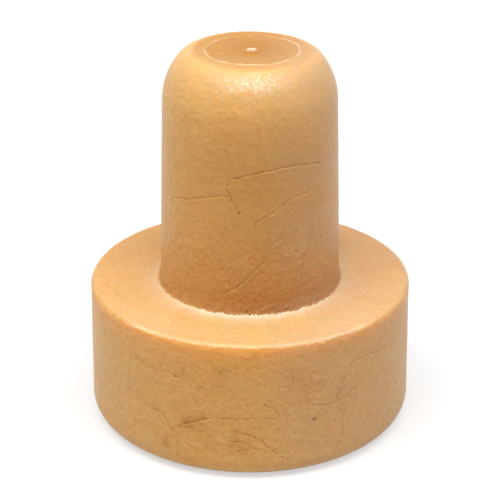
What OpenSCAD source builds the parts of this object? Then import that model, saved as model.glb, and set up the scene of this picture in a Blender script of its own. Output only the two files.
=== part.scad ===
// One-piece moulded bottle stopper: a broad round head for the fingers and a tapered shank that plugs
// the neck. It stands on its head's outer face, with the origin at the middle of that face and the
// shank along +Z. The whole stopper is one turned shape, so it is one half-profile revolved once.

/* [Head] */
// Diameter of the head at its seat, before the rim is rounded
head_d = 34; // [30:0.5:40]
// Height of the head, from its outer face to its seat
head_h = 15.2; // [9:0.1:20]
// Draft on the head's side, which widens towards the outer face, in degrees
head_draft = 0.8; // [0:0.1:2]
// Radius of the edge round the outer face
head_edge_r = 2; // [0.4:0.1:4]
// Radius of the rim round the seat
seat_rim_r = 0.65; // [0.2:0.05:1.5]

/* [Shank] */
// Diameter of the shank's side where it would meet the seat, before the root flares
shank_d = 19.1; // [17:0.1:22]
// Length of the shank, from the seat to its end face
shank_l = 25; // [20:0.5:32]
// Draft on the shank's side, which narrows towards its end, in degrees
shank_draft = 1.4; // [0:0.1:2]
// Radius of the slow flare at the shank's root
flare_r = 3; // [2:0.5:4]
// Slope that the flare reaches before the tight fillet takes over, in degrees off the axis
flare_slope = 24; // [10:1:35]
// Radius of the tight fillet between the flare and the seat
root_r = 0.35; // [0.2:0.05:0.8]

/* [Nose] */
// Diameter of the flat end face, inside the rounded nose
end_d = 11.4; // [10.8:0.1:13]
// Radius of the nose beside the end face
crown_r = 2.3; // [1:0.1:3]
// Radius of the nose where it runs out of the shank's side
shoulder_r = 7.1; // [5:0.1:9]

/* [Gate] */
// Diameter of the witness ring that the mould's gate insert leaves on the end face
ring_d = 9.6; // [8:0.1:10.2]
// Width of the witness ring
ring_w = 0.3; // [0.15:0.05:0.5]
// Height that the witness ring stands above the end face
ring_h = 0.1; // [0.05:0.01:0.14]
// Depth of the shallow dish inside the witness ring
dish_depth = 0.1; // [0.05:0.05:0.6]
// Diameter of the gate well in the middle of the dish
well_d = 4.6; // [3:0.1:6]
// Depth of the gate well below the dish
well_depth = 0.1; // [0.05:0.05:0.5]
// Diameter of the gate nub at the bottom of the well
nub_d = 1.3; // [0.6:0.1:2]
// Height of the gate nub above the bottom of the well
nub_h = 0.3; // [0.1:0.05:0.6]

/* [Hidden] */

// Largest turn of one step along an arc of the profile, in degrees
arc_step = 6;
// Facets round the revolved stopper in OpenSCAD's own preview
round_fn = 180;

end_z = head_h + shank_l;

// Radius of the head's side and of the shank's side at a height above the outer face
function head_side_r(z) = head_d / 2 + tan(head_draft) * (head_h - z);
function shank_side_r(z) = shank_d / 2 - tan(shank_draft) * (z - head_h);

// Unit vector at an angle from the profile's radial axis
function unit(angle) = [cos(angle), sin(angle)];

// Points along an arc of the half-profile, both ends included
function arc(centre, r, from, to) =
    let (steps = max(2, ceil(abs(to - from) / arc_step)))
    [for (i = [0:steps]) centre + r * unit(from + (to - from) * i / steps)];

// A shallow arc between two heights, symmetrical about the axis: it runs inwards from edge_r at edge_z
// to inner_r, on the circle that passes through middle_z on the axis
function shallow_arc(edge_r, edge_z, inner_r, middle_z) =
    let (
        rise = edge_z - middle_z,
        r = (edge_r * edge_r + rise * rise) / (2 * abs(rise)),
        centre_z = middle_z + sign(rise) * r,
        facing = rise > 0 ? -90 : 90,
        turn = rise > 0 ? 1 : -1
    )
    arc([0, centre_z], r, facing + turn * asin(edge_r / r), facing + turn * asin(inner_r / r));

// The edge round the outer face, tangent to that face and to the head's side
function head_edge() =
    let (centre_r = head_side_r(head_edge_r) - head_edge_r / cos(head_draft))
    arc([centre_r, head_edge_r], head_edge_r, -90, head_draft);

// The rim round the seat, tangent to the head's side and to the seat
function seat_rim() =
    let (
        centre_z = head_h - seat_rim_r,
        centre_r = head_side_r(centre_z) - seat_rim_r / cos(head_draft)
    )
    arc([centre_r, centre_z], seat_rim_r, head_draft, 90);

// The shank's root: a tight fillet tangent to the seat, then a slow flare tangent to the shank's side.
// The two arcs share a tangent where the surface slopes by flare_slope.
function root() =
    let (
        fillet_centre_z = head_h + root_r,
        join_z = fillet_centre_z - root_r * sin(flare_slope),
        flare_centre_z = join_z + flare_r * sin(flare_slope),
        side_z = flare_centre_z - flare_r * sin(shank_draft),
        flare_centre_r = shank_side_r(side_z) + flare_r * cos(shank_draft),
        fillet_centre_r = flare_centre_r - (flare_r - root_r) * cos(flare_slope)
    )
    concat(
        arc([fillet_centre_r, fillet_centre_z], root_r, 270, 180 + flare_slope),
        arc([flare_centre_r, flare_centre_z], flare_r, 180 + flare_slope, 180 + shank_draft)
    );

// The nose: a wide shoulder arc tangent to the shank's side runs into a tighter crown arc that is
// tangent to the end face. The shoulder's centre slides along a line that keeps it tangent to the side,
// and stops where the two circles touch inside one another.
function nose() =
    let (
        crown_centre = [end_d / 2, end_z - crown_r],
        line_start = [shank_side_r(head_h), head_h] - shoulder_r * unit(shank_draft),
        along = unit(90 + shank_draft),
        gap = crown_centre - line_start,
        reach = gap * along,
        off = sqrt(gap * gap - reach * reach),
        shoulder_centre = line_start + along * (reach - sqrt(pow(shoulder_r - crown_r, 2) - off * off)),
        between = crown_centre - shoulder_centre,
        meet = atan2(between[1], between[0])
    )
    concat(
        arc(shoulder_centre, shoulder_r, shank_draft, meet),
        arc(crown_centre, crown_r, meet, 90)
    );

// The witness ring: a low rounded ridge on the end face
function witness_ring() =
    let (
        r = (pow(ring_w / 2, 2) + ring_h * ring_h) / (2 * ring_h),
        half = asin(ring_w / 2 / r)
    )
    arc([ring_d / 2, end_z + ring_h - r], r, 90 - half, 90 + half);

// The dish, the well in its middle and the nub where the gate broke off
function gate() =
    let (
        dish_edge_r = (ring_d - ring_w) / 2,
        dish_middle_z = end_z - dish_depth,
        dish = shallow_arc(dish_edge_r, end_z, well_d / 2, dish_middle_z),
        well_edge_z = dish[len(dish) - 1][1],
        well_middle_z = dish_middle_z - well_depth,
        well = shallow_arc(well_d / 2, well_edge_z, nub_d / 2, well_middle_z),
        nub_foot_z = well[len(well) - 1][1],
        nub = shallow_arc(nub_d / 2, nub_foot_z, 0, well_middle_z + nub_h)
    )
    concat(dish, well, nub);

module stopper() {
    color([0.86, 0.65, 0.42])
        rotate_extrude($fn = round_fn)
            polygon(concat(
                [[0, 0]],
                head_edge(),
                seat_rim(),
                root(),
                nose(),
                witness_ring(),
                gate()
            ));
}

stopper();
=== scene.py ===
import math
import random
from bisect import bisect

import bmesh
import bpy
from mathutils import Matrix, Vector, kdtree, noise


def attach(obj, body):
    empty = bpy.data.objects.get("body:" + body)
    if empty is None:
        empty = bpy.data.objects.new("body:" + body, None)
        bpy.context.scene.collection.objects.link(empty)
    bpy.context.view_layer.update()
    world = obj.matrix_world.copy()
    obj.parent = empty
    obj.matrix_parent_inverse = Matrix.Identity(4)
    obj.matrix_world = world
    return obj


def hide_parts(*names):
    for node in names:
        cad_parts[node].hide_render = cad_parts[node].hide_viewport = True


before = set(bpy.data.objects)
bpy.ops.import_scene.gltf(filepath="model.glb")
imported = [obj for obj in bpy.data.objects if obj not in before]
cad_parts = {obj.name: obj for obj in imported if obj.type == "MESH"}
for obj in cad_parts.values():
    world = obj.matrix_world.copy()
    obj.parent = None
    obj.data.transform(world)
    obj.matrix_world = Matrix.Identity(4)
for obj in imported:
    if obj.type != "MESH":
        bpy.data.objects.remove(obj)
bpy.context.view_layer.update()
print("frame loaded")

mm = 0.001
hair = 0.01  # mm, a gap too small to count


def linearColour(hexColour):
    channels = [int(hexColour[i:i + 2], 16) / 255 for i in (1, 3, 5)]
    linear = [c / 12.92 if c <= 0.04045 else ((c + 0.055) / 1.055) ** 2.4 for c in channels]
    return (*linear, 1.0)


def addNode(tree, kind, settings=None, links=None):
    node = tree.nodes.new(kind)
    for name, value in (settings or {}).items():
        if isinstance(name, str) and hasattr(node, name):
            setattr(node, name, value)
        else:
            node.inputs[name].default_value = value
    for name, source in (links or {}).items():
        tree.links.new(source, node.inputs[name])
    return node


def emptyMaterial(name):
    material = bpy.data.materials.new(name)
    material.use_nodes = True
    material.node_tree.nodes.clear()
    return material, material.node_tree


def limit(value, low=0, high=1):
    return min(high, max(low, value))


def layered(point, waves):
    # noise in layers: cycles a millimetre and share of each
    return sum(share * noise.noise(point * perMm) for perMm, share in waves)


# The stopper's turned form, in millimetres and degrees. Its head stands on the floor.
stopper = {
    "skinGap": 0.04,  # how far the moulded skin lies inside the CAD solid, which leaves room for its bulges
    "headRadius": 17.0,
    "headHeight": 15.2,
    "headDraft": 0.8,
    "headEdgeRadius": 2.0,
    "seatRimRadius": 0.65,
    "shankRadius": 9.55,  # where its side would meet the seat
    "shankLength": 25.0,
    "shankDraft": 1.4,
    "flareRadius": 3.0,  # of the slow flare at the shank's root
    "flareSlope": 24,
    "rootRadius": 0.35,
    "rootHeight": 0.9,  # up to here the root belongs to the seat
    "endRadius": 5.7,  # of the flat end face, inside the crown
    "crownRadius": 2.3,
    "shoulderRadius": 7.1,
    "ringRadius": 4.8,
    "stepsRound": 240,
    # spacing of the rows of faces, by region
    "faceStep": 2.2,
    "edgeStep": 0.3,
    "headStep": 0.42,
    "rimStep": 0.13,
    "cornerStep": 0.14,  # on the last of the seat, beside the root
    "cornerSpan": 0.6,
    "rootStep": 0.07,
    "flareStep": 0.2,
    "shankStep": 0.3,
    "shoulderStep": 0.26,
    "crownStep": 0.2,
    "ringStep": 0.07,
    "ringSpan": (0.6, 0.5),  # how far inside and outside the witness ring the rows stay close
    "nubRows": ((1.2, 0.22), (0.1, 0.08), (0, 0.1)),  # distance from the axis, and spacing up to there
}
stopper["rimBottom"] = stopper["headHeight"] - stopper["seatRimRadius"]
stopper["rootTop"] = stopper["headHeight"] + stopper["rootHeight"]
stopper["endHeight"] = stopper["headHeight"] + stopper["shankLength"]


def drawLine(bm, tip, r, z, spacing):
    # a straight run of the half-profile, in equal steps, from the tip of the chain
    start, end = tip.co.copy(), Vector((r, 0, z))
    steps = max(1, round((end - start).length / spacing))
    for step in range(1, steps + 1):
        tip = bmesh.ops.extrude_vert_indiv(bm, verts=[tip])["verts"][0]
        tip.co = start.lerp(end, step / steps)
    return tip


def drawArc(bm, tip, r, z, degrees, spacing):
    # an arc about (r, z), anticlockwise in the XZ plane, from the tip of the chain
    centre = Vector((r, 0, z))
    length = (tip.co - centre).length * math.radians(abs(degrees))
    spun = bmesh.ops.spin(bm, geom=[tip], cent=centre, axis=(0, -1, 0), dvec=(0, 0, 0),
                          angle=math.radians(degrees), steps=max(2, round(length / spacing)),
                          use_merge=False, use_normal_flip=False, use_duplicate=False)
    return next(part for part in spun["geom_last"] if isinstance(part, bmesh.types.BMVert))


def drawHead(bm, s):
    # the outer face from its middle, its edge, the side and the rim of the seat
    draft, top = math.radians(s["headDraft"]), s["headHeight"]
    edge, rim = s["headEdgeRadius"], s["seatRimRadius"]

    def side(z):
        return s["headRadius"] - s["skinGap"] + math.tan(draft) * (top - z)

    edgeCentre = side(edge) - edge / math.cos(draft)
    rimCentre = side(top - rim) - rim / math.cos(draft)
    sideTop = rimCentre + rim * math.cos(draft), top - rim + rim * math.sin(draft)
    tip = bm.verts.new((0, 0, 0))
    tip = drawLine(bm, tip, edgeCentre, 0, s["faceStep"])
    tip = drawArc(bm, tip, edgeCentre, edge, 90 + s["headDraft"], s["edgeStep"])
    tip = drawLine(bm, tip, *sideTop, s["headStep"])
    return drawArc(bm, tip, rimCentre, top - rim, 90 - s["headDraft"], s["rimStep"])


def drawShank(bm, tip, s):
    # the seat, a tight fillet and a slow flare at the root, the side, the shoulder and the crown
    seat, taper = s["headHeight"], math.radians(s["shankDraft"])
    root, flare, slope = s["rootRadius"], s["flareRadius"], math.radians(s["flareSlope"])

    def side(z):
        return s["shankRadius"] - s["skinGap"] - math.tan(taper) * (z - seat)

    flareHeight = seat + root + (flare - root) * math.sin(slope)
    flareCentre = side(flareHeight - flare * math.sin(taper)) + flare * math.cos(taper)
    rootCentre = flareCentre - (flare - root) * math.cos(slope)
    tip = drawLine(bm, tip, rootCentre + s["cornerSpan"], seat, s["headStep"])
    tip = drawLine(bm, tip, rootCentre, seat, s["cornerStep"])
    tip = drawArc(bm, tip, rootCentre, seat + root, s["flareSlope"] - 90, s["rootStep"])
    tip = drawArc(bm, tip, flareCentre, flareHeight, s["shankDraft"] - s["flareSlope"], s["flareStep"])

    # the shoulder touches both the tapered side and the smaller crown
    crown, shoulder = s["crownRadius"], s["shoulderRadius"]
    outward = Vector((math.cos(taper), 0, math.sin(taper)))
    upward = Vector((-math.sin(taper), 0, math.cos(taper)))
    crownCentre = Vector((s["endRadius"] - s["skinGap"], 0, s["endHeight"] - crown))
    lineStart = Vector((side(seat), 0, seat)) - shoulder * outward
    gap = crownCentre - lineStart
    reach = gap.dot(upward)
    off = gap.length_squared - reach ** 2
    shoulderCentre = lineStart + upward * (reach - math.sqrt((shoulder - crown) ** 2 - off))
    between = crownCentre - shoulderCentre
    meet = math.degrees(math.atan2(between.z, between.x))
    sideTop = shoulderCentre + shoulder * outward
    tip = drawLine(bm, tip, sideTop.x, sideTop.z, s["shankStep"])
    tip = drawArc(bm, tip, shoulderCentre.x, shoulderCentre.z, meet - s["shankDraft"], s["shoulderStep"])
    return drawArc(bm, tip, crownCentre.x, crownCentre.z, 90 - meet, s["crownStep"])


def drawEnd(bm, tip, s):
    # the end face, with close rows where the witness ring and the gate nub stand
    inside, outside = s["ringSpan"]
    rows = [(s["ringRadius"] + outside, s["crownStep"]), (s["ringRadius"] - inside, s["ringStep"])]
    for radius, spacing in rows + list(s["nubRows"]):
        tip = drawLine(bm, tip, radius, s["endHeight"], spacing)


def turnStopper(s):
    # spins the half-profile into the closed form, and keeps its chain of (height, radius)
    bm = bmesh.new()
    drawEnd(bm, drawShank(bm, drawHead(bm, s), s), s)
    chain = [(vert.co.z, vert.co.x) for vert in bm.verts]
    bmesh.ops.spin(bm, geom=bm.verts[:] + bm.edges[:], cent=(0, 0, 0), axis=(0, 0, 1), dvec=(0, 0, 0),
                   angle=math.tau, steps=s["stepsRound"], use_merge=True, use_normal_flip=False,
                   use_duplicate=False)
    bmesh.ops.remove_doubles(bm, verts=bm.verts[:], dist=0.0005)
    bmesh.ops.recalc_face_normals(bm, faces=bm.faces[:])
    print("stopper turned:", len(bm.faces), "faces")
    return bm, chain


# Points along each line where two flow fronts met: degrees round from the front, then height. The
# strength scales its depth, and a broken line comes and goes.
shankLines = [
    (1.0, False, [(-12, 29.6), (-2, 30.1), (9, 30.5), (26, 30.8), (37, 30.6), (52, 30.1)]),
    (0.9, False, [(-12, 29.6), (-15, 28.6), (-13, 28.0), (-11, 27.3), (-7, 26.1)]),
    (0.9, False, [(-60, 25.9), (-45, 26.5), (-34, 27.1), (-18, 27.8), (-13, 27.8)]),
    (1.0, True, [(2, 24.4), (4, 25.2), (14, 26.0), (19, 26.6), (25, 27.2), (35, 27.5), (50, 27.8),
                 (68, 28.6)]),
    (0.5, False, [(52, 30.0), (54, 28.8)]),
    (1.0, True, [(34, 18.8), (37, 20.9), (41, 22.6), (44, 23.6)]),
    (0.85, False, [(-19, 16.9), (-9, 17.9), (0, 19.2), (5, 20.2), (10, 21.0)]),
    (0.8, True, [(-2, 18.2), (4, 19.2), (9, 19.8)]),
    (0.7, True, [(3, 20.2), (7, 19.7), (14, 18.6)]),
    (0.5, True, [(-60, 28.6), (-58, 25.9), (-61, 24.0)]),
]
headLines = [
    (0.7, False, [(-46, 11.9), (-38, 11.4), (-33, 11.0)]),
    (0.6, False, [(-66, 7.3), (-57, 7.1), (-49, 6.6)]),
    (1.0, False, [(-40, 6.7), (-32, 6.5), (-30, 5.8), (-28, 4.7)]),
    (1.1, False, [(-28, 4.7), (-23, 5.8), (-18, 6.4), (-12, 7.0)]),
    (0.8, False, [(-12, 7.0), (0, 7.1), (10, 7.0)]),
    (0.8, True, [(-27, 5.1), (-22, 5.4), (-17, 6.0)]),
    (0.8, True, [(-25, 6.0), (-19, 6.7), (-14, 6.9)]),
    (0.7, False, [(-28, 4.7), (-25, 3.0), (-26, 1.4)]),
    (0.7, True, [(-30.5, 4.2), (-29.5, 2.2)]),
    (0.7, True, [(-8, 4.0), (-4, 3.9), (0, 3.2)]),
    (0.6, True, [(-6, 3.5), (-1, 3.0)]),
    (1.0, False, [(-6, 5.8), (0, 5.2), (4, 4.5), (7, 3.5), (12, 2.2)]),
    (0.7, False, [(-7, 4.3), (-3, 4.5), (1, 3.7), (4, 3.4)]),
    (0.8, False, [(4, 8.9), (10, 7.5)]),
    (0.7, True, [(15, 8.6), (11, 7.2)]),
    (0.9, False, [(35, 10.8), (33, 9.5), (31, 8.0), (28, 7.6), (21, 8.0)]),
    (0.8, False, [(40, 8.8), (34, 7.9), (31, 7.8)]),
    (0.7, False, [(32, 7.6), (34, 4.4), (30, 1.5)]),
    (0.8, False, [(62, 11.6), (54, 11.4), (44, 11.8), (37, 11.6)]),
    (0.6, True, [(58, 8.8), (49, 8.5), (43, 8.6)]),
]
# Faint lines on the seat: degrees, then distance from the axis
seatLines = [
    (0.6, False, [(64, 11.6), (61, 14.3), (60, 16.2)]),
    (0.45, False, [(40, 12.8), (43, 16.0)]),
    (0.55, False, [(-82, 15.6), (-73, 14.8), (-58, 14.6)]),
    (0.45, True, [(-30, 12.2), (-38, 15.8)]),
    (0.5, True, [(-72, 13.2), (-64, 13.0), (-58, 13.4)]),
    (0.45, True, [(-68, 12.2), (-60, 12.0)]),
    (0.45, True, [(28, 13.6), (34, 13.2), (41, 13.9)]),
]
# Open pores: degrees, height, radius and depth
pores = [
    (-7, 26.1, 0.20, 0.12), (-41, 22.6, 0.16, 0.09), (22.5, 6.3, 0.24, 0.22), (-32, 11.8, 0.18, 0.09),
    (-26, 11.0, 0.22, 0.10), (-23, 12.1, 0.16, 0.08), (-10, 12.2, 0.16, 0.08), (39, 8.6, 0.18, 0.10),
    (24, 10.3, 0.15, 0.07), (14.5, 11.2, 0.15, 0.07), (17, 11.6, 0.14, 0.06), (19, 10.3, 0.14, 0.06),
    (21, 11.1, 0.14, 0.06),
]
# Soft brown stains on the head, where the skin is dense: degrees, height, reach and how dark
stains = [
    (-21, 5.9, 0.9, 0.42), (-16, 6.5, 0.8, 0.35), (-5, 4.0, 1.0, 0.3), (0, 3.2, 0.7, 0.28),
    (-30, 3.0, 0.9, 0.4), (-9, 11.6, 1.5, 0.15), (-24, 11.5, 1.6, 0.16), (16, 11.2, 1.8, 0.2),
    (22, 10.0, 1.4, 0.18), (34, 9.0, 1.2, 0.2),
]

# The flow lines' shape, and the chance ones round the back. A wave along a line has its cycles a
# millimetre, its share and the row of the noise that it reads. Lengths are in millimetres.
flow = {
    "seed": 17,
    "sampleStep": 0.08,
    "endFade": 0.6,  # a line rises from the share below to its full depth within this
    "endShare": 0.3,
    "reach": 1.6,
    "grooveDepth": 0.085,
    "grooveWidth": 0.095,
    "lipHeight": 0.08,
    "lipWidth": 0.4,
    "lipStart": 0.152,  # the lip is full this far below the groove's middle
    "wobble": 0.14,
    "wobbleWaves": ((0.9, 1.0, 0), (3.1, 0.5, 5), (7.3, 0.45, 11)),
    "evenDepth": 0.8,
    "depthWaves": ((0.8, 0.5, 9), (2.7, 0.8, 14)),
    "brokenDepth": 0.5,  # the least depth of a broken line
    "brokenRise": 0.9,
    "brokenWaves": ((2.2, 1.0, 20),),
    "brokenOften": 0.25,
    "toneEven": 0.9,  # how evenly brown the groove is along its length
    "toneWaves": ((1.7, 1.2),),
    "toneLeast": 0.5,
    "toneBelow": 0.45,  # painted shade, lighter on the groove's lower flank, which faces up
    "flankStart": 0.03,  # that flank starts this far below the middle
    "backLines": 16,
    "backDegrees": (80, 280),
    "backHead": {"heights": (2.0, 13.0), "stride": 7},  # the stride is in degrees
    "backShank": {"heights": (17.5, 33.5), "stride": 11},
    "backCorners": (3, 6),
    "backClimb": 2.2,
    "backTurn": 0.9,  # radians, for the first stretch
    "backBend": 0.7,  # and for each corner
    "backStrength": (0.6, 1.1),
    "backBroken": 0.5,
}

# A pore's shape, and how many more lie by chance round the back and all over
porosity = {
    "reach": 1.6,  # in radii
    "wallWidth": 0.62,  # in radii
    "openness": 0.8,  # share of a pore's depth that the skin sinks
    "darkDepth": 0.1,  # mm, from which a pore's painted shade is as dark as it gets
    "back": {"count": 26, "degrees": (75, 285), "heights": ((2, 13), (18, 33)),
             "radius": (0.13, 0.22), "depth": 0.5},  # depths are in radii
    "small": {"count": 150, "degrees": (-180, 180), "heights": ((2, 13.5), (3, 13), (17.5, 36)),
              "radius": (0.08, 0.13), "depth": 0.35},
}


def placeRound(degrees, radius, z):
    angle = math.radians(degrees)
    return Vector((radius * math.sin(angle), -radius * math.cos(angle), z))


def outlineRadius(outline, z):
    # radius of a side at a height, from its chain of (height, radius)
    i = limit(bisect(outline, (z, 0)), 1, len(outline) - 1)
    (z0, r0), (z1, r1) = outline[i - 1], outline[i]
    return r0 + (r1 - r0) * limit((z - z0) / (z1 - z0))


def alongLine(along, key, waves):
    return sum(share * noise.noise(Vector((along * perMm, key, row))) for perMm, share, row in waves)


def sampleLine(samples, strength, broken, corners, place, key):
    # walks one flow line in short steps, with a wobble across it, and keeps each point's strength
    points = [place(*corner) for corner in corners]
    lengths = [(b - a).length for a, b in zip(points, points[1:])]
    total, gone = sum(lengths), 0
    for a, b, cornerA, cornerB, length in zip(points, points[1:], corners, corners[1:], lengths):
        slant = (b - a).normalized()
        steps = max(1, round(length / flow["sampleStep"]))
        for step in range(steps):
            share = step / steps
            along = gone + share * length
            wobble = flow["wobble"] * alongLine(along, key, flow["wobbleWaves"])
            degrees = cornerA[0] + (cornerB[0] - cornerA[0]) * share
            degrees += math.degrees(wobble * abs(slant.z) / max(a.xy.length, 1))
            height = cornerA[1] + (cornerB[1] - cornerA[1]) * share
            height += wobble * (1 - abs(slant.z))
            fade = min(1, flow["endShare"] + min(along, total - along) / flow["endFade"])
            depth = strength * fade * (flow["evenDepth"] + alongLine(along, key, flow["depthWaves"]))
            if broken:
                kept = max(0, alongLine(along, key, flow["brokenWaves"]) + flow["brokenOften"])
                depth *= flow["brokenDepth"] + flow["brokenRise"] * kept
            samples.append((place(degrees, height), slant, max(depth, 0)))
        gone += length


def wanderBack(chance, region):
    # the corners of one more line, by chance, round the back
    low, high = region["heights"]
    degrees, height = chance.uniform(*flow["backDegrees"]), chance.uniform(low, high)
    turn, corners = chance.uniform(-flow["backTurn"], flow["backTurn"]), []
    for _ in range(chance.randint(*flow["backCorners"])):
        corners.append((degrees, limit(height, low, high)))
        turn += chance.uniform(-flow["backBend"], flow["backBend"])
        degrees += math.cos(turn) * region["stride"]
        height += math.sin(turn) * flow["backClimb"]
    return corners


def gatherLines(side, seat, chance):
    samples, key = [], 0
    for lines, place in ((shankLines, side), (headLines, side), (seatLines, seat)):
        for strength, broken, corners in lines:
            key += 7
            sampleLine(samples, strength, broken, corners, place, key)
    for i in range(flow["backLines"]):
        key += 7
        corners = wanderBack(chance, flow["backShank" if i % 2 else "backHead"])
        strength = chance.uniform(*flow["backStrength"])
        broken = chance.random() < flow["backBroken"]
        sampleLine(samples, strength, broken, corners, side, key)
    return samples


def gatherPores(side, chance):
    holes = [(side(degrees, z), radius, depth) for degrees, z, radius, depth in pores]
    for kind in (porosity["back"], porosity["small"]):
        for _ in range(kind["count"]):
            z = chance.choice([chance.uniform(*heights) for heights in kind["heights"]])
            radius = chance.uniform(*kind["radius"])
            holes.append((side(chance.uniform(*kind["degrees"]), z), radius, radius * kind["depth"]))
    return holes


def treeOf(points):
    tree = kdtree.KDTree(len(points))
    for i, point in enumerate(points):
        tree.insert(point, i)
    tree.balance()
    return tree


def gatherMarks(chain, s):
    # sets the lines, pores and stains on the turned form, with trees that find the nearest of them
    headOutline = sorted(point for point in chain if point[0] <= s["rimBottom"])
    shankOutline = sorted(point for point in chain if point[0] > s["headHeight"] + hair)

    def side(degrees, z):
        outline = headOutline if z < s["headHeight"] else shankOutline
        return placeRound(degrees, outlineRadius(outline, z), z)

    def seat(degrees, radius):
        return placeRound(degrees, radius, s["headHeight"])

    chance = random.Random(flow["seed"])
    samples = gatherLines(side, seat, chance)
    holes = gatherPores(side, chance)
    print("marks set:", len(samples), "points of flow lines and", len(holes), "pores")
    return {
        "samples": samples,
        "lineTree": treeOf([point for point, _, _ in samples]),
        "holes": holes,
        "poreTree": treeOf([point for point, _, _ in holes]),
        "stains": [(side(degrees, z), reach, share) for degrees, z, reach, share in stains],
    }


# Finer faces, in millimetres: how near a flow line, how near a pore, and edges shorter than this stay
finer = {
    "passes": ((0.75, 0.35, 0.16), (0.30, 0.20, 0.13)),
    "rootPasses": 2,
    "rootEdge": 0.1,
    "rootRadius": 10.7,  # distance from the axis to which the root is made finer
}


def refine(bm, wanted):
    # halves every edge whose middle is wanted
    edges = [edge for edge in bm.edges
             if wanted((edge.verts[0].co + edge.verts[1].co) / 2, edge.calc_length())]
    bmesh.ops.subdivide_edges(bm, edges=edges, cuts=1, use_grid_fill=True)


def refineMarked(bm, marks, s):
    def nearMarks(lineReach, poreReach, shortest):
        def wanted(middle, length):
            if length < shortest:
                return False
            nearLine = marks["lineTree"].find(middle)[2] < lineReach
            return nearLine or marks["poreTree"].find(middle)[2] < poreReach
        return wanted

    def inRoot(middle, length):
        byRoot = s["headHeight"] - hair < middle.z < s["rootTop"] and middle.xy.length < finer["rootRadius"]
        return byRoot and length > finer["rootEdge"]

    for reaches in finer["passes"]:
        refine(bm, nearMarks(*reaches))
    for _ in range(finer["rootPasses"]):
        refine(bm, inRoot)
    bmesh.ops.triangulate(bm, faces=[face for face in bm.faces if len(face.verts) > 4])
    print("finer faces by the flow lines, pores and root:", len(bm.faces), "faces")


# The slow waves and small dimples of a foamed skin. The outer face, which the head stands on, is flat.
swell = {
    "waveHeight": 0.030,
    "wavesPerMm": 0.28,
    "dimpleHeight": 0.012,
    "dimplesPerMm": 0.95,
    "dimpleSquash": 1.4,
    "flatBelow": 0.05,
    "fullAbove": 2.0,  # and this much higher they are full
}


def swellSkin(point):
    squashed = Vector((point.x, point.y, point.z * swell["dimpleSquash"]))
    wave = swell["waveHeight"] * noise.noise(point * swell["wavesPerMm"])
    dimple = swell["dimpleHeight"] * noise.noise(squashed * swell["dimplesPerMm"])
    return (wave + dimple) * limit((point.z - swell["flatBelow"]) / swell["fullAbove"])


def pressLine(point, normal, marks, tones):
    # the nearest flow line: a narrow groove with a rounded lip below it, brown with painted shade on its
    # upper flank
    _, index, distance = marks["lineTree"].find(point)
    if distance >= flow["reach"]:
        return 0
    linePoint, slant, depth = marks["samples"][index]
    downward = normal.cross(slant)
    if downward.z > 0:
        downward = -downward
    below = downward.dot(point - linePoint)
    groove = math.exp(-(distance / flow["grooveWidth"]) ** 2)
    # the line's own brown, with painted shade on the groove's upper flank, which faces down
    even = limit(flow["toneEven"] + layered(point, flow["toneWaves"]), flow["toneLeast"])
    flank = 1 if below < flow["flankStart"] else flow["toneBelow"]
    tones["creaseShadeAndStain"] = min(1, even * depth * groove * flank)
    lip = limit(below / flow["lipStart"]) * math.exp(-distance / flow["lipWidth"])
    return depth * (flow["lipHeight"] * lip - flow["grooveDepth"] * groove)


def pressPore(point, marks, tones):
    # the nearest pore: a round dimple, with painted shade in its middle
    _, index, distance = marks["poreTree"].find(point)
    _, radius, depth = marks["holes"][index]
    if distance >= porosity["reach"] * radius:
        return 0
    hole = depth * math.exp(-(distance / (porosity["wallWidth"] * radius)) ** 2)
    tones["poreShade"] = min(1, hole / porosity["darkDepth"])
    return -porosity["openness"] * hole


# The gate in the middle of the end face: a low nub in a shallow dish, with the torn flash round it
gate = {
    "offset": 0.25,  # the gate stands a little to the right of the axis
    "slopeRadius": 6.0,  # the end face falls from here to the ring
    "slopeDepth": 0.11,
    "dishDepth": 0.07,
    "stepDepth": 0.03,  # of the small step just inside the ring
    "stepWidth": 0.2,
    "wellRadius": 1.6,
    "wellDepth": 0.07,
    "wellFall": 2.2,
    "flashHeight": 0.13,
    "flashWidth": 0.11,
    "flashEven": 0.45,
    "flashLean": 0.4,  # how much more it stands up on one side
    "flashSide": 0.4,  # radians, which turns that side round
    "flashTears": ((0.5, 0.7), (1.9, 0.5), (4.5, 0.5)),  # cycles a millimetre and share, as below
    "flashWaves": ((0.4, 0.12), (1.7, 0.06)),
    "noiseRound": (5, 8),  # radius and height of the circle on which both read the noise
    "nubHeight": 0.36,
    "nubLength": 0.48,
    "nubWidth": 0.38,
    "nubTail": 1.6,  # how much longer it is to the left
    "nubLumps": (4, 0.25),  # cycles a millimetre, and share
    "reachDown": 0.6,  # points of the crown are left alone from this far below the end face
    # its tones: painted shade in the dish and on the slope outside the ring, and the pale flash and nub,
    # partly painted highlight
    "toneDepth": 0.3,  # the tones reach this far down from the end face
    "outerTone": 0.62,
    "outerLean": 0.1,
    "outerReach": 0.6,  # the outer tone fades out this far outside the slope
    "outerFade": 0.8,
    "innerTone": 0.74,
    "innerEdge": 0.3,
    "deepTone": 0.26,
    "deepPlace": (0, 1.2),
    "deepSize": (3.4, 3.0),
    "flashTone": 0.7,
    "nubTone": 0.7,
    "nubShade": 0.7,  # of the dark ring round its foot
    "nubFoot": (0.8, 0.75),  # the foot is the nub read at these shares of x and y, which draws it wider
}


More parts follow.
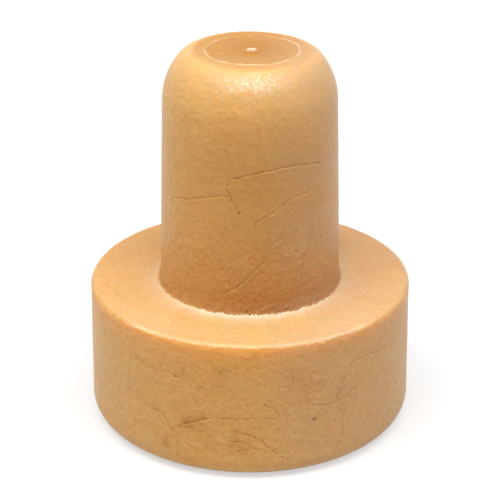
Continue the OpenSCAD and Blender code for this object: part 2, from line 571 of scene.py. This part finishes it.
def gateMarks(x, y, s):
    # how strongly a point of the end face lies on the torn flash and on the nub
    x -= gate["offset"]
    r, angle = math.hypot(x, y), math.atan2(y, x)
    noiseRadius, noiseHeight = gate["noiseRound"]
    around = Vector((math.cos(angle) * noiseRadius, math.sin(angle) * noiseRadius, noiseHeight))
    aside = r - s["ringRadius"] - layered(around, gate["flashWaves"])
    torn = gate["flashEven"] + gate["flashLean"] * math.sin(gate["flashSide"] - angle)
    torn += layered(around, gate["flashTears"])
    flash = limit(torn) * math.exp(-(aside / gate["flashWidth"]) ** 2)
    length = gate["nubLength"] * (gate["nubTail"] if x < 0 else 1)
    nubShare = (x / length) ** 2 + (y / gate["nubWidth"]) ** 2
    perMm, lumps = gate["nubLumps"]
    nub = (1 + lumps * noise.noise(Vector((x * perMm, y * perMm, 2)))) / (1 + nubShare ** 3)
    return flash, min(nub, 1)


def gateHeight(x, y, s):
    # how far the end face rises at a point: its slope, the dish, the well, the torn flash and the nub
    r, ring = math.hypot(x - gate["offset"], y), s["ringRadius"]
    slope = limit((gate["slopeRadius"] - r) / (gate["slopeRadius"] - ring))
    rise = -gate["slopeDepth"] * slope * slope * (3 - 2 * slope)
    if r < ring:
        rise -= gate["dishDepth"] * (1 - (r / ring) ** 2)
        rise -= gate["stepDepth"] * min(1, (ring - r) / gate["stepWidth"])
    rise -= gate["wellDepth"] * math.exp(-gate["wellFall"] * (r / gate["wellRadius"]) ** 2)
    flash, nub = gateMarks(x, y, s)
    return rise + gate["flashHeight"] * flash + gate["nubHeight"] * nub


# A ragged line of small burrs where the two halves of the mould met, in the corner of the root, and a painted
# highlight on the seat beyond it
burrAndHighlight = {
    "radius": 9.85,
    "offset": -0.3,  # the line's middle lies this far to the front of the axis
    "ragged": 0.36,  # how far it wanders in and out
    "raggedWaves": ((1 / 0.09, 1.0), (2, 0.7)),  # cycles a millimetre and share
    "tornBack": 0.15,  # how torn it is round the back; it is 1 at the front
    "tornPower": 1.5,
    "seatReach": 12.5,  # no burr lies farther from the axis
    "toothWidth": 0.1,
    "toothEven": 0.3,
    "toothRise": 1.5,
    "longest": 1.3,
    "lengthEven": 0.45,  # shares of the longest, as are the two below
    "lengthWaves": ((1, 1.0), (4, 0.5)),
    "lengthLeast": 0.12,
    "innerFade": 0.1,
    "upperFade": 0.1,
    "height": 0.2,
    "grooveDepth": 0.14,  # of the fine groove inside the burrs
    "groovePlace": 0.12,
    "grooveWidth": 0.14,
    "tornTone": 0.6,
    "glowTone": (0.3, 0.6),  # of the painted highlight beyond the burrs, all round, and more at the front
    "glow": 0.8,  # how far the painted highlight reaches over the seat
    "glowStart": 0.02,
}


def burrSpot(point):
    # where a point lies by the line of burrs: how far outside it, how far to the front, and how torn it is
    around = point.xy.normalized().to_3d() * burrAndHighlight["radius"]
    front = max(0, -point.y / max(point.xy.length, hair))
    torn = burrAndHighlight["tornBack"] + (1 - burrAndHighlight["tornBack"]) * front ** burrAndHighlight["tornPower"]
    out = (point.xy - Vector((0, burrAndHighlight["offset"]))).length - burrAndHighlight["radius"]
    out -= burrAndHighlight["ragged"] * torn * layered(around, burrAndHighlight["raggedWaves"])
    return {"around": around, "front": front, "torn": torn, "out": out}


def raiseBurr(point, spot, tones, s):
    # the teeth outside the line, the fine groove inside it, and a painted highlight on the seat beyond
    onSeat = s["headHeight"] - hair < point.z < s["rootTop"] and point.xy.length < burrAndHighlight["seatReach"]
    if not onSeat:
        return 0
    out, around = spot["out"], spot["around"]
    tooth = limit(burrAndHighlight["toothEven"] + burrAndHighlight["toothRise"] * noise.noise(around / burrAndHighlight["toothWidth"]))
    length = limit(burrAndHighlight["lengthEven"] + layered(around, burrAndHighlight["lengthWaves"]), burrAndHighlight["lengthLeast"])
    fade = 1 - out / (burrAndHighlight["longest"] * length) if out > 0 else 1 + out / burrAndHighlight["innerFade"]
    above = point.z - s["headHeight"] - burrAndHighlight["upperFade"]
    raised = spot["torn"] * tooth * max(0, fade) * math.exp(-max(0, above) / burrAndHighlight["upperFade"])
    groove = math.exp(-((out + burrAndHighlight["groovePlace"]) / burrAndHighlight["grooveWidth"]) ** 2)
    # the teeth are pale, partly their own torn tone and partly painted highlight, most at the front
    tones["burrAndHighlight"] = burrAndHighlight["tornTone"] * raised
    if out > burrAndHighlight["glowStart"]:
        allRound, atFront = burrAndHighlight["glowTone"]
        tones["burrAndHighlight"] += (allRound + atFront * spot["front"]) * math.exp(-out / burrAndHighlight["glow"])
    tones["burrAndHighlight"] = min(1, tones["burrAndHighlight"])
    return burrAndHighlight["height"] * raised - burrAndHighlight["grooveDepth"] * groove


# The skin's tones as shares. It is paler on the nose with painted highlight, browner down the shank, darker
# with painted shade at its root, and browner with painted shade in the gate's dish. Lengths are in
# millimetres.
shankTone = {
    "start": 0.2,  # its tones start this far below the seat, inside the line of burrs
    "brownAndShade": [(15.3, 1.0), (16.3, 0.8), (18.0, 0.55), (22.0, 0.44), (31.0, 0.42), (33.0, 0.30),
              (35.0, 0.10), (37.0, 0.0)],  # by height
    "brownAxis": (-0.26, 0.97),  # it is browner towards both ends of this line
    "brownAside": 0.5,  # and this is left at the sides
    "rootEven": 0.5,
    "rootFade": 0.3,
    "paleHighlight": [(34.8, 0.0), (37.0, 0.5), (38.5, 0.75)],  # painted highlight, paler towards the nose, by height
    # a painted highlight, broken into specks, on the front of the crown
    "paintedHighlightPlace": (0.3, 39.1),
    "paintedHighlightSize": (3.0, 0.75),
    "paintedHighlightTop": 0.15,
}
headTone = {
    "brownAndShade": 0.1,
    "seatShade": (0.1, 0.42),  # browner at the front of the seat, and how much more painted shade at its back, behind the shank
    "seatEdge": 0.2,
    "mottleEven": 0.7,
    "mottleRise": 1.6,
    "mottlePerMm": (1.6, 1.6, 4),
    "paleHighlightFade": 0.13,
    # a painted glow, standing for light scattered in the thin rim: it starts this far below the seat, rises,
    # and then dies away
    "glowStart": 0.12,
    "glowRise": 0.3,
    "glowEnd": 0.6,
    "glowFade": 1.2,
    # a painted highlight: a fine pale line along the rim, at the front
    "rimHighlight": 0.65,
    "rimLineDepth": 0.14,
    "rimLineWidth": 0.09,
    "rimLineRadius": 13,
    "rimLineLeast": 0.15,
    "rimLineFront": 0.6,
    "rimLineFade": 0.15,
    "rimLineEven": 0.75,
    "rimLineWaves": ((0.35, 0.5), (2.1, 0.15)),
}


def readOff(steps, value):
    # a value between the steps of a list
    for (x0, y0), (x1, y1) in zip(steps, steps[1:]):
        if value < x1:
            return y0 + (y1 - y0) * max(0, (value - x0) / (x1 - x0))
    return steps[-1][1]


def toneShank(point, spot, tones, s):
    # painted shade in the corner of the root, browner down the side, and painted highlight towards the nose
    t = shankTone
    axisX, axisY = t["brownAxis"]
    facing = ((axisX * point.x + axisY * point.y) / max(point.xy.length, hair)) ** 2
    brownAndShade = readOff(t["brownAndShade"], point.z) * (t["brownAside"] + (1 - t["brownAside"]) * facing)
    # painted shade in the corner of the root, heaviest at the front and lighter round the back and sides
    if point.z < s["rootTop"]:
        brownAndShade *= min(1, t["rootEven"] + max(0, -spot["out"]) / t["rootFade"] + spot["front"] ** 2)
    tones["brownAndShade"] = brownAndShade
    # painted highlight paling towards the nose
    tones["paleHighlight"] = readOff(t["paleHighlight"], point.z)
    # a painted highlight on the front of the crown
    if point.y < 0 and point.z < s["endHeight"] - t["paintedHighlightTop"]:
        aside = (point.x - t["paintedHighlightPlace"][0]) / t["paintedHighlightSize"][0]
        above = (point.z - t["paintedHighlightPlace"][1]) / t["paintedHighlightSize"][1]
        tones["paintedHighlight"] = math.exp(-aside ** 2 - above ** 2)


def toneHead(point, spot, marks, tones, s):
    # even all over, browner on the seat, stained in places; painted shade on the seat's back, a painted glow
    # under the rim, and painted highlights along the rim and on the seat's front
    t, front, under = headTone, spot["front"], s["headHeight"] - point.z
    tones["brownAndShade"] = t["brownAndShade"]
    if point.z > s["rimBottom"] + t["seatEdge"]:
        # a little browner over the seat, with painted shade at its back, behind the shank
        even, more = t["seatShade"]
        tones["dish"] = even + more * max(0, point.y / point.xy.length)
    if point.y < 0:
        mottled = noise.noise(point * Vector(t["mottlePerMm"]))
        mottle = max(0, t["mottleEven"] + t["mottleRise"] * mottled)
        for place, reach, share in marks["stains"]:
            stain = share * mottle * math.exp(-((point - place).length / reach) ** 2)
            tones["creaseShadeAndStain"] = min(1, tones["creaseShadeAndStain"] + stain)
    # painted highlight paling on the front of the seat
    tones["paleHighlight"] = front * math.exp(-(max(0, under) / t["paleHighlightFade"]) ** 2)
    # a painted orange glow just below the rim
    lit = limit((under - t["glowStart"]) / t["glowRise"])
    tones["glow"] = lit * math.exp(-max(0, under - t["glowEnd"]) / t["glowFade"])
    # a painted highlight along the rim, at the front
    if point.xy.length > t["rimLineRadius"]:
        line = math.exp(-((under - t["rimLineDepth"]) / t["rimLineWidth"]) ** 2)
        line *= limit((front - t["rimLineFront"]) / t["rimLineFade"], t["rimLineLeast"])
        line *= min(1, t["rimLineEven"] + layered(spot["around"], t["rimLineWaves"]))
        tones["burrAndHighlight"] = max(tones["burrAndHighlight"], t["rimHighlight"] * line)


def toneEnd(point, tones, s):
    # painted shade in the gate's dish, most in its deepest part, and on the slope outside the ring; the flash
    # and the nub are pale, partly with painted highlight
    fromGate = point.xy - Vector((gate["offset"], 0))
    aside, ring = fromGate.length, s["ringRadius"]
    # painted shade in the dish inside the ring, deepest towards the back, and on the slope outside it
    inside = limit((ring - aside) / gate["innerEdge"] + 0.5)
    fromDeep = fromGate - Vector(gate["deepPlace"])
    deep = math.exp(-(fromDeep.x / gate["deepSize"][0]) ** 2 - (fromDeep.y / gate["deepSize"][1]) ** 2)
    inner = gate["innerTone"] + gate["deepTone"] * deep
    outer = gate["outerTone"] + gate["outerLean"] * fromGate.y / ring
    outer *= limit((gate["slopeRadius"] + gate["outerReach"] - aside) / gate["outerFade"])
    tones["dish"] = outer + (inner - outer) * inside
    flash, nub = gateMarks(point.x, point.y, s)
    footX, footY = gate["nubFoot"]
    foot = gateMarks(point.x * footX, point.y * footY, s)[1]
    # the flash and the nub are pale, partly their own torn tone and partly painted highlight
    tones["burrAndHighlight"] = max(gate["flashTone"] * flash, gate["nubTone"] * nub ** 2)
    tones["creaseShadeAndStain"] = gate["nubShade"] * max(0, foot - nub)


def mouldSkin(bm, marks, s):
    # moves every point of the turned form along its normal, and gives it the tones that the material reads
    bm.normal_update()
    names = ("creaseShadeAndStain", "poreShade", "burrAndHighlight", "brownAndShade", "paleHighlight", "glow", "paintedHighlight", "dish")
    layers = {name: bm.verts.layers.float.new(name) for name in names}
    moves = []
    for vert in bm.verts:
        point, tones = vert.co, dict.fromkeys(names, 0.0)
        spot = burrSpot(point)
        move = swellSkin(point) + pressLine(point, vert.normal, marks, tones)
        move += pressPore(point, marks, tones) + raiseBurr(point, spot, tones, s)
        inCorner = point.z > s["headHeight"] - shankTone["start"] and spot["out"] < 0
        if inCorner or point.z > s["rootTop"]:
            toneShank(point, spot, tones, s)
        else:
            toneHead(point, spot, marks, tones, s)
        if point.z > s["endHeight"] - gate["toneDepth"]:
            toneEnd(point, tones, s)
        for name, layer in layers.items():
            vert[layer] = tones[name]
        moves.append(vert.normal * move)
    for vert, move in zip(bm.verts, moves):
        vert.co += move
        if vert.co.z > s["endHeight"] - gate["reachDown"] and vert.co.xy.length < s["endRadius"]:
            vert.co.z += gateHeight(vert.co.x, vert.co.y, s)
        vert.co.z = max(vert.co.z, 0)
    print("skin moulded:", len(moves), "points")


def buildStopper(s):
    bm, chain = turnStopper(s)
    marks = gatherMarks(chain, s)
    refineMarked(bm, marks, s)
    mouldSkin(bm, marks, s)
    for face in bm.faces:
        face.smooth = True
    bmesh.ops.scale(bm, vec=(mm, mm, mm), verts=bm.verts[:])
    mesh = bpy.data.meshes.new("stopper_skin")
    bm.to_mesh(mesh)
    bm.free()
    piece = bpy.data.objects.new("stopper_skin", mesh)
    bpy.context.collection.objects.link(piece)
    return piece


# Foamed thermoplastic elastomer, injected with a blowing agent in a plain steel mould. The cell walls
# scatter light just under a thin dense skin, so lit edges glow orange, and the skin itself has a low
# satin gloss, broken up by small flow wrinkles.
foam = {
    "paleTone": "#F8C47C",
    "midTone": "#F3BA6C",
    "deepTone": "#E8AA5B",
    "toneRange": (0.36, 0.64),  # of the blended patterns, from the deep tone to the pale one
    "yellowTone": "#F3BD66",
    "yellowShare": 0.25,
    # a painted sheen at the sides, partly a drift of the melt's colour
    "roseSheenTone": "#CDAB98",
    "roseSheenShare": 0.26,
    # browner down the shank, with painted shade at its root
    "brownAndShadeTone": "#BE8248",
    "brownAndShadeShare": 1.0,
    # the flow lines' own brown with painted shade in their grooves, the stains, and painted shade round the
    # nub's foot
    "creaseShadeAndStainTone": "#B66424",
    "creaseShadeAndStainShare": 0.74,
    # painted shade in the pores
    "poreShadeTone": "#A95B1A",
    "poreShadeShare": 0.85,
    # pale burrs, flash and nub, partly painted highlight, and painted highlights on the seat beyond the burrs
    # and along the rim
    "burrAndHighlightTone": "#FFF2DA",
    "burrAndHighlightShare": 0.88,
    # painted highlight paling on the nose and the front of the seat
    "paleHighlightTone": "#DFB57A",
    "paleHighlightShare": 0.9,
    # the painted glow below the rim
    "glowTone": "#FFB552",
    "glowShare": 0.52,
    # the painted highlight on the crown
    "paintedHighlightTone": "#FFF3D6",
    "paintedHighlightShare": 0.85,
    # painted shade on the seat's back and in the gate's dish
    "dishTone": "#B67820",
    "dishShare": 1.0,
    # painted shade in the pits and in the hair-thin wrinkles
    "pitShadeTone": "#BE7236",
    "pitShadeShare": 0.5,
    "wrinkleShadeShare": 0.13,
    "ior": 1.5,
    "specular": 0.2,
    "scatterShare": 0.6,
    "scatterDepth": (2.2, 0.9, 0.3),  # mm, for red, green and blue
    "bumpHeight": 0.26,  # mm
    # how each pattern is turned and stretched: lying folds near the nose, upright ones lower down
    "stretches": {
        "even": ((0, 0, 0), (1, 1, 1)),
        "lying": ((0.2, 0.1, 0), (1, 1, 1.05)),
        "upright": ((0.1, -0.15, 0), (1.15, 1.15, 0.8)),
        "slanting": ((0, 0.35, 0.2), (0.45, 0.45, 1.3)),
        "sideways": ((0, 0, 0.35), (0.45, 1.4, 1)),
    },
    # Scales are in cycles a millimetre: the melt drifts over 7 mm and is patchy over 4.5, its streaks,
    # sweeps and curls are 1.4 mm apart and its folds 0.7. The skin's real grain is near 0.1 mm, too fine
    # to show, so the grain is drawn at 0.5 and the glint at 0.35.
    "patterns": {
        "cloud": ("even", {"Scale": 0.14, "Detail": 3.0, "Roughness": 0.5}),
        "patch": ("even", {"Scale": 0.22, "Detail": 2.0, "Roughness": 0.5}),
        "streak": ("slanting", {"Scale": 0.7, "Detail": 3.0, "Roughness": 0.5, "Distortion": 0.6}),
        "sweep": ("sideways", {"Scale": 0.75, "Detail": 4.0, "Roughness": 0.62, "Distortion": 0.4}),
        "lyingFold": ("lying", {"Scale": 1.5, "Detail": 1.8, "Roughness": 0.5, "Distortion": 0.3}),
        "uprightFold": ("upright", {"Scale": 1.5, "Detail": 2.2, "Roughness": 0.5, "Distortion": 0.5}),
        "curl": ("even", {"Scale": 0.75, "Detail": 3.0, "Roughness": 0.55, "Distortion": 0.4}),
        "glint": ("even", {"Scale": 2.9, "Detail": 2.0, "Roughness": 0.6}),
        "grain": ("even", {"Scale": 2.0, "Detail": 2.0, "Roughness": 0.6}),
    },
    "pitScale": 1.15,  # one cell every 0.9 mm, with a pit in some of them
    # where each field starts and stops to count, with heights and x in millimetres; calm scales the relief
    "ranges": {
        "upper": ("height", {"From Min": 24.0, "From Max": 31.0}),
        "onHead": ("height", {"From Min": 15.3, "From Max": 14.9}),
        "calm": ("height", {"From Min": 20.0, "From Max": 27.0, "To Min": 1.25, "To Max": 0.64}),
        "side": ("x", {"From Min": -3.0, "From Max": 3.0, "To Min": 0.35}),
        "hairline": ("fromMiddle", {"From Min": 0.035, "From Max": 0.0}),
        "wrinkled": ("patch", {"From Min": 0.46, "From Max": 0.6}),
        "hollow": ("fromCell", {"From Min": 0.14, "From Max": 0.03}),
        "chosen": ("cellChance", {"From Min": 0.45, "From Max": 0.8}),
        "yellow": ("cloud", {"From Min": 0.45, "From Max": 0.65}),
        "streaky": ("sweep", {"From Min": 0.38, "From Max": 0.62, "To Min": 0.4, "To Max": 1.1}),
        "specks": ("glint", {"From Min": 0.47, "From Max": 0.62, "To Min": 0.35}),
    },
    "toneWeights": {"patch": 0.25, "streak": 0.21, "fold": 0.27, "grain": 0.27},
    "reliefWeights": {"fold": 0.7, "streak": 0.08, "grain": 0.55, "wrinkle": -0.08, "pit": -0.4},
    "gloss": {"From Min": 0.35, "From Max": 0.65, "To Min": 0.30, "To Max": 0.44},  # roughness by fold
    # the rose tone, partly a drift of the melt's colour and partly a painted sheen at the sides, stronger on
    # the right, grows with the distance from x = -2 mm, and the clouds break it up
    "driftMiddle": -2.0,
    "driftWeights": {"far": 1.0, "cloud": 12.0},
    "driftAndSheen": {"From Min": 9.0, "From Max": 15.0},
}


def addUp(tree, fields, weights):
    # a weighted sum of fields
    total = None
    for name, weight in weights.items():
        settings, links = {"operation": "MULTIPLY_ADD", 1: weight, 2: 0.0}, {0: fields[name]}
        if total:
            links[2] = total
        total = addNode(tree, "ShaderNodeMath", settings, links).outputs[0]
    return total


def overlay(tree, base, tone, share, amount):
    # lays a tone over a colour, as far as a field and a share say
    factor = addNode(tree, "ShaderNodeMath", {"operation": "MULTIPLY", 1: share, "use_clamp": True},
                     {0: amount})
    return addNode(tree, "ShaderNodeMix", {"data_type": "RGBA", 7: linearColour(tone)},
                   {0: factor.outputs[0], 6: base}).outputs[2]


def foamFields(tree, inMm):
    # the patterns of the skin, and the fields that are made from them
    places, fields = {}, {}
    for name, (turn, stretch) in foam["stretches"].items():
        places[name] = addNode(tree, "ShaderNodeMapping", {"Rotation": turn, "Scale": stretch},
                               {"Vector": inMm}).outputs["Vector"]
    for name, (stretch, settings) in foam["patterns"].items():
        fields[name] = addNode(tree, "ShaderNodeTexNoise", settings,
                               {"Vector": places[stretch]}).outputs["Fac"]
    axes = addNode(tree, "ShaderNodeSeparateXYZ", links={"Vector": inMm})
    fields["x"], fields["height"] = axes.outputs["X"], axes.outputs["Z"]
    cells = addNode(tree, "ShaderNodeTexVoronoi", {"Scale": foam["pitScale"]}, {"Vector": inMm})
    fields["fromCell"] = cells.outputs["Distance"]
    fields["cellChance"] = addNode(tree, "ShaderNodeSeparateColor",
                                   links={"Color": cells.outputs["Color"]}).outputs["Red"]
    # how far the curled field is from its middle, and x from the middle of the drift
    for name, source, middle in (("fromMiddle", "curl", 0.5), ("far", "x", foam["driftMiddle"])):
        offset = addNode(tree, "ShaderNodeMath", {"operation": "SUBTRACT", 1: middle}, {0: fields[source]})
        fields[name] = addNode(tree, "ShaderNodeMath", {"operation": "ABSOLUTE"},
                               {0: offset.outputs[0]}).outputs[0]
    for name, (source, settings) in foam["ranges"].items():
        fields[name] = addNode(tree, "ShaderNodeMapRange", settings, {"Value": fields[source]}).outputs[0]
    # hair-thin curled wrinkles lie in patches, and pits in some of the cells
    for name, first, second in (("wrinkle", "hairline", "wrinkled"), ("pit", "hollow", "chosen")):
        fields[name] = addNode(tree, "ShaderNodeMath", {"operation": "MULTIPLY"},
                               {0: fields[first], 1: fields[second]}).outputs[0]
    # folds lie flat near the nose and on the head, and stand upright on the lower shank
    lying = addNode(tree, "ShaderNodeMath", {"operation": "MAXIMUM"},
                    {0: fields["upper"], 1: fields["onHead"]}).outputs[0]
    fields["fold"] = addNode(tree, "ShaderNodeMix", {"data_type": "FLOAT"},
                             {0: lying, 2: fields["uprightFold"], 3: fields["lyingFold"]}).outputs[0]
    return fields


def foamColour(tree, fields):
    # the blended patterns give the melt's own colour, and the tones are laid over it one by one
    tone = addNode(tree, "ShaderNodeValToRGB", links={"Fac": addUp(tree, fields, foam["toneWeights"])})
    ramp = tone.color_ramp
    for element, place, name in zip(ramp.elements, foam["toneRange"], ("deepTone", "paleTone")):
        element.position, element.color = place, linearColour(foam[name])
    ramp.elements.new(0.5).color = linearColour(foam["midTone"])

    toned = overlay(tree, tone.outputs["Color"], foam["yellowTone"], foam["yellowShare"], fields["yellow"])
    # painted shade in the pits and in the hair-thin wrinkles
    toned = overlay(tree, toned, foam["pitShadeTone"], foam["pitShadeShare"], fields["pit"])
    toned = overlay(tree, toned, foam["pitShadeTone"], foam["wrinkleShadeShare"], fields["wrinkle"])
    # the tones that the mesh carries, several of them painted light; the painted highlight paling lies in
    # streaks and the painted highlight on the crown in specks
    for name in ("brownAndShade", "paleHighlight", "glow", "dish", "paintedHighlight", "creaseShadeAndStain", "poreShade", "burrAndHighlight"):
        amount = addNode(tree, "ShaderNodeAttribute", {"attribute_name": name}).outputs["Fac"]
        broken = {"paleHighlight": "streaky", "paintedHighlight": "specks"}.get(name)
        if broken:
            amount = addNode(tree, "ShaderNodeMath", {"operation": "MULTIPLY"},
                             {0: amount, 1: fields[broken]}).outputs[0]
        toned = overlay(tree, toned, foam[name + "Tone"], foam[name + "Share"], amount)

    # the colour of the melt drifts a little from one side to the other, with a painted sheen paling both
    # sides, more on the right
    driftAndSheen = addUp(tree, fields, foam["driftWeights"])
    driftAndSheen = addNode(tree, "ShaderNodeMapRange", foam["driftAndSheen"], {"Value": driftAndSheen}).outputs[0]
    driftAndSheen = addNode(tree, "ShaderNodeMath", {"operation": "MULTIPLY"},
                    {0: driftAndSheen, 1: fields["side"]}).outputs[0]
    return overlay(tree, toned, foam["roseSheenTone"], foam["roseSheenShare"], driftAndSheen)


def foamedElastomer():
    material, tree = emptyMaterial("foamed_elastomer")
    place = addNode(tree, "ShaderNodeTexCoord").outputs["Object"]
    inMm = addNode(tree, "ShaderNodeMapping", {"Scale": (1 / mm, 1 / mm, 1 / mm)},
                   {"Vector": place}).outputs["Vector"]
    fields = foamFields(tree, inMm)
    relief = addUp(tree, fields, foam["reliefWeights"])
    relief = addNode(tree, "ShaderNodeMath", {"operation": "MULTIPLY"}, {0: relief, 1: fields["calm"]})
    bump = addNode(tree, "ShaderNodeBump", {"Strength": 1.0, "Distance": foam["bumpHeight"] * mm},
                   {"Height": relief.outputs[0]}).outputs["Normal"]
    gloss = addNode(tree, "ShaderNodeMapRange", foam["gloss"], {"Value": fields["fold"]}).outputs[0]
    settings = {"IOR": foam["ior"], "Specular IOR Level": foam["specular"],
                "Subsurface Weight": foam["scatterShare"], "Subsurface Scale": mm,
                "Subsurface Radius": foam["scatterDepth"]}
    shader = addNode(tree, "ShaderNodeBsdfPrincipled", settings,
                     {"Base Color": foamColour(tree, fields), "Roughness": gloss, "Normal": bump})
    addNode(tree, "ShaderNodeOutputMaterial", links={"Surface": shader.outputs["BSDF"]})
    return material


piece = buildStopper(stopper)
piece.data.materials.append(foamedElastomer())
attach(piece, "root")
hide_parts("stopper")
print("stopper skinned:", sum(len(face.vertices) - 2 for face in piece.data.polygons), "triangles")

# The studio, in metres: a white paper floor under four softboxes, with white all round
studio = {
    "floorSize": 3.0,
    "floorTone": "#ACACAC",
    "floorBounce": "#D0D0D0",  # what the floor throws back at the stopper
    "floorLift": 0.58,  # glow added where the paper is seen, near the stopper; it is 1 far off
    "liftSpan": (0.06, 0.4),
    "worldTone": "#FFFFFF",
    "worldFill": 0.01,
    "worldSeen": 1.0,
    "aim": (0, 0, 0.02),
    "softboxes": {  # place, size and power of each
        "overhead_softbox": ((0, 0, 0.6), (0.36, 0.36), 1.27),
        "front_softbox": ((0, -0.2, 0.57), (0.36, 0.3), 1.4),
        "left_softbox": ((-0.3, -0.1, 0.52), (0.3, 0.3), 1.58),
        "right_softbox": ((0.3, -0.1, 0.52), (0.3, 0.3), 1.2),
    },
}


def seenDirectly(tree):
    # 1 for the rays that show the white studio, and 0 for those that carry light between surfaces
    path = addNode(tree, "ShaderNodeLightPath")
    seen = addNode(tree, "ShaderNodeMath", {"operation": "MAXIMUM"},
                   {0: path.outputs["Is Camera Ray"], 1: path.outputs["Is Glossy Ray"]}).outputs[0]
    return addNode(tree, "ShaderNodeMath", {"operation": "MAXIMUM"},
                   {0: seen, 1: path.outputs["Is Transmission Ray"]}).outputs[0]


def sweepPaper():
    # matt white paper; where it is seen it is lifted to white, more so away from the stopper
    material, tree = emptyMaterial("sweep_paper")
    bounce = addNode(tree, "ShaderNodeBsdfDiffuse", {"Color": linearColour(studio["floorBounce"])}).outputs[0]
    paper = addNode(tree, "ShaderNodeBsdfDiffuse", {"Color": linearColour(studio["floorTone"])}).outputs[0]
    away = addNode(tree, "ShaderNodeTexCoord").outputs["Object"]
    away = addNode(tree, "ShaderNodeVectorMath", {"operation": "LENGTH"}, {0: away}).outputs["Value"]
    near, far = studio["liftSpan"]
    lift = addNode(tree, "ShaderNodeMapRange",
                   {"From Min": near, "From Max": far, "To Min": studio["floorLift"]},
                   {"Value": away}).outputs[0]
    lift = addNode(tree, "ShaderNodeEmission", links={"Strength": lift}).outputs[0]
    bright = addNode(tree, "ShaderNodeAddShader", links={0: paper, 1: lift}).outputs[0]
    mixed = addNode(tree, "ShaderNodeMixShader",
                    links={0: seenDirectly(tree), 1: bounce, 2: bright}).outputs[0]
    addNode(tree, "ShaderNodeOutputMaterial", links={"Surface": mixed})
    return material


def addFloor():
    bm = bmesh.new()
    bmesh.ops.create_grid(bm, x_segments=1, y_segments=1, size=studio["floorSize"])
    mesh = bpy.data.meshes.new("paper_sweep")
    bm.to_mesh(mesh)
    bm.free()
    mesh.materials.append(sweepPaper())
    floor = bpy.data.objects.new("paper_sweep", mesh)
    bpy.context.collection.objects.link(floor)


def addSoftbox(name, place, size, power):
    lamp = bpy.data.lights.new(name, "AREA")
    lamp.shape = "RECTANGLE"
    lamp.size, lamp.size_y = size
    lamp.energy = power
    box = bpy.data.objects.new(name, lamp)
    box.location = place
    box.rotation_euler = (Vector(studio["aim"]) - Vector(place)).to_track_quat("-Z", "Y").to_euler()
    bpy.context.collection.objects.link(box)


def addWorld():
    world = bpy.data.worlds.new("studio_air")
    world.use_nodes = True
    tree = world.node_tree
    tree.nodes.clear()
    tone = linearColour(studio["worldTone"])
    fill, seen = [addNode(tree, "ShaderNodeBackground", {"Color": tone, "Strength": studio[name]}).outputs[0]
                  for name in ("worldFill", "worldSeen")]
    mixed = addNode(tree, "ShaderNodeMixShader", links={0: seenDirectly(tree), 1: fill, 2: seen}).outputs[0]
    addNode(tree, "ShaderNodeOutputWorld", links={"Surface": mixed})
    bpy.context.scene.world = world


# The camera looks down at the stopper from its front, in metres and degrees
camera = {
    "distance": 0.1842,  # from the point it looks at
    "lookHeight": 0.01787,
    "elevation": 24.72,
    "lens": 124.6,
    "nearest": 0.01,
}


def addCamera():
    lens = bpy.data.cameras.new("view")
    lens.lens = camera["lens"]
    lens.clip_start = camera["nearest"]
    angle = math.radians(camera["elevation"])
    back, up = camera["distance"] * math.cos(angle), camera["distance"] * math.sin(angle)
    view = bpy.data.objects.new("view", lens)
    view.location = (0, -back, camera["lookHeight"] + up)
    view.rotation_euler = (math.pi / 2 - angle, 0, 0)
    bpy.context.collection.objects.link(view)
    bpy.context.scene.camera = view


addFloor()
addWorld()
for name, (place, size, power) in studio["softboxes"].items():
    addSoftbox(name, place, size, power)
addCamera()
bpy.context.scene.view_settings.view_transform = "Standard"
print("studio set")
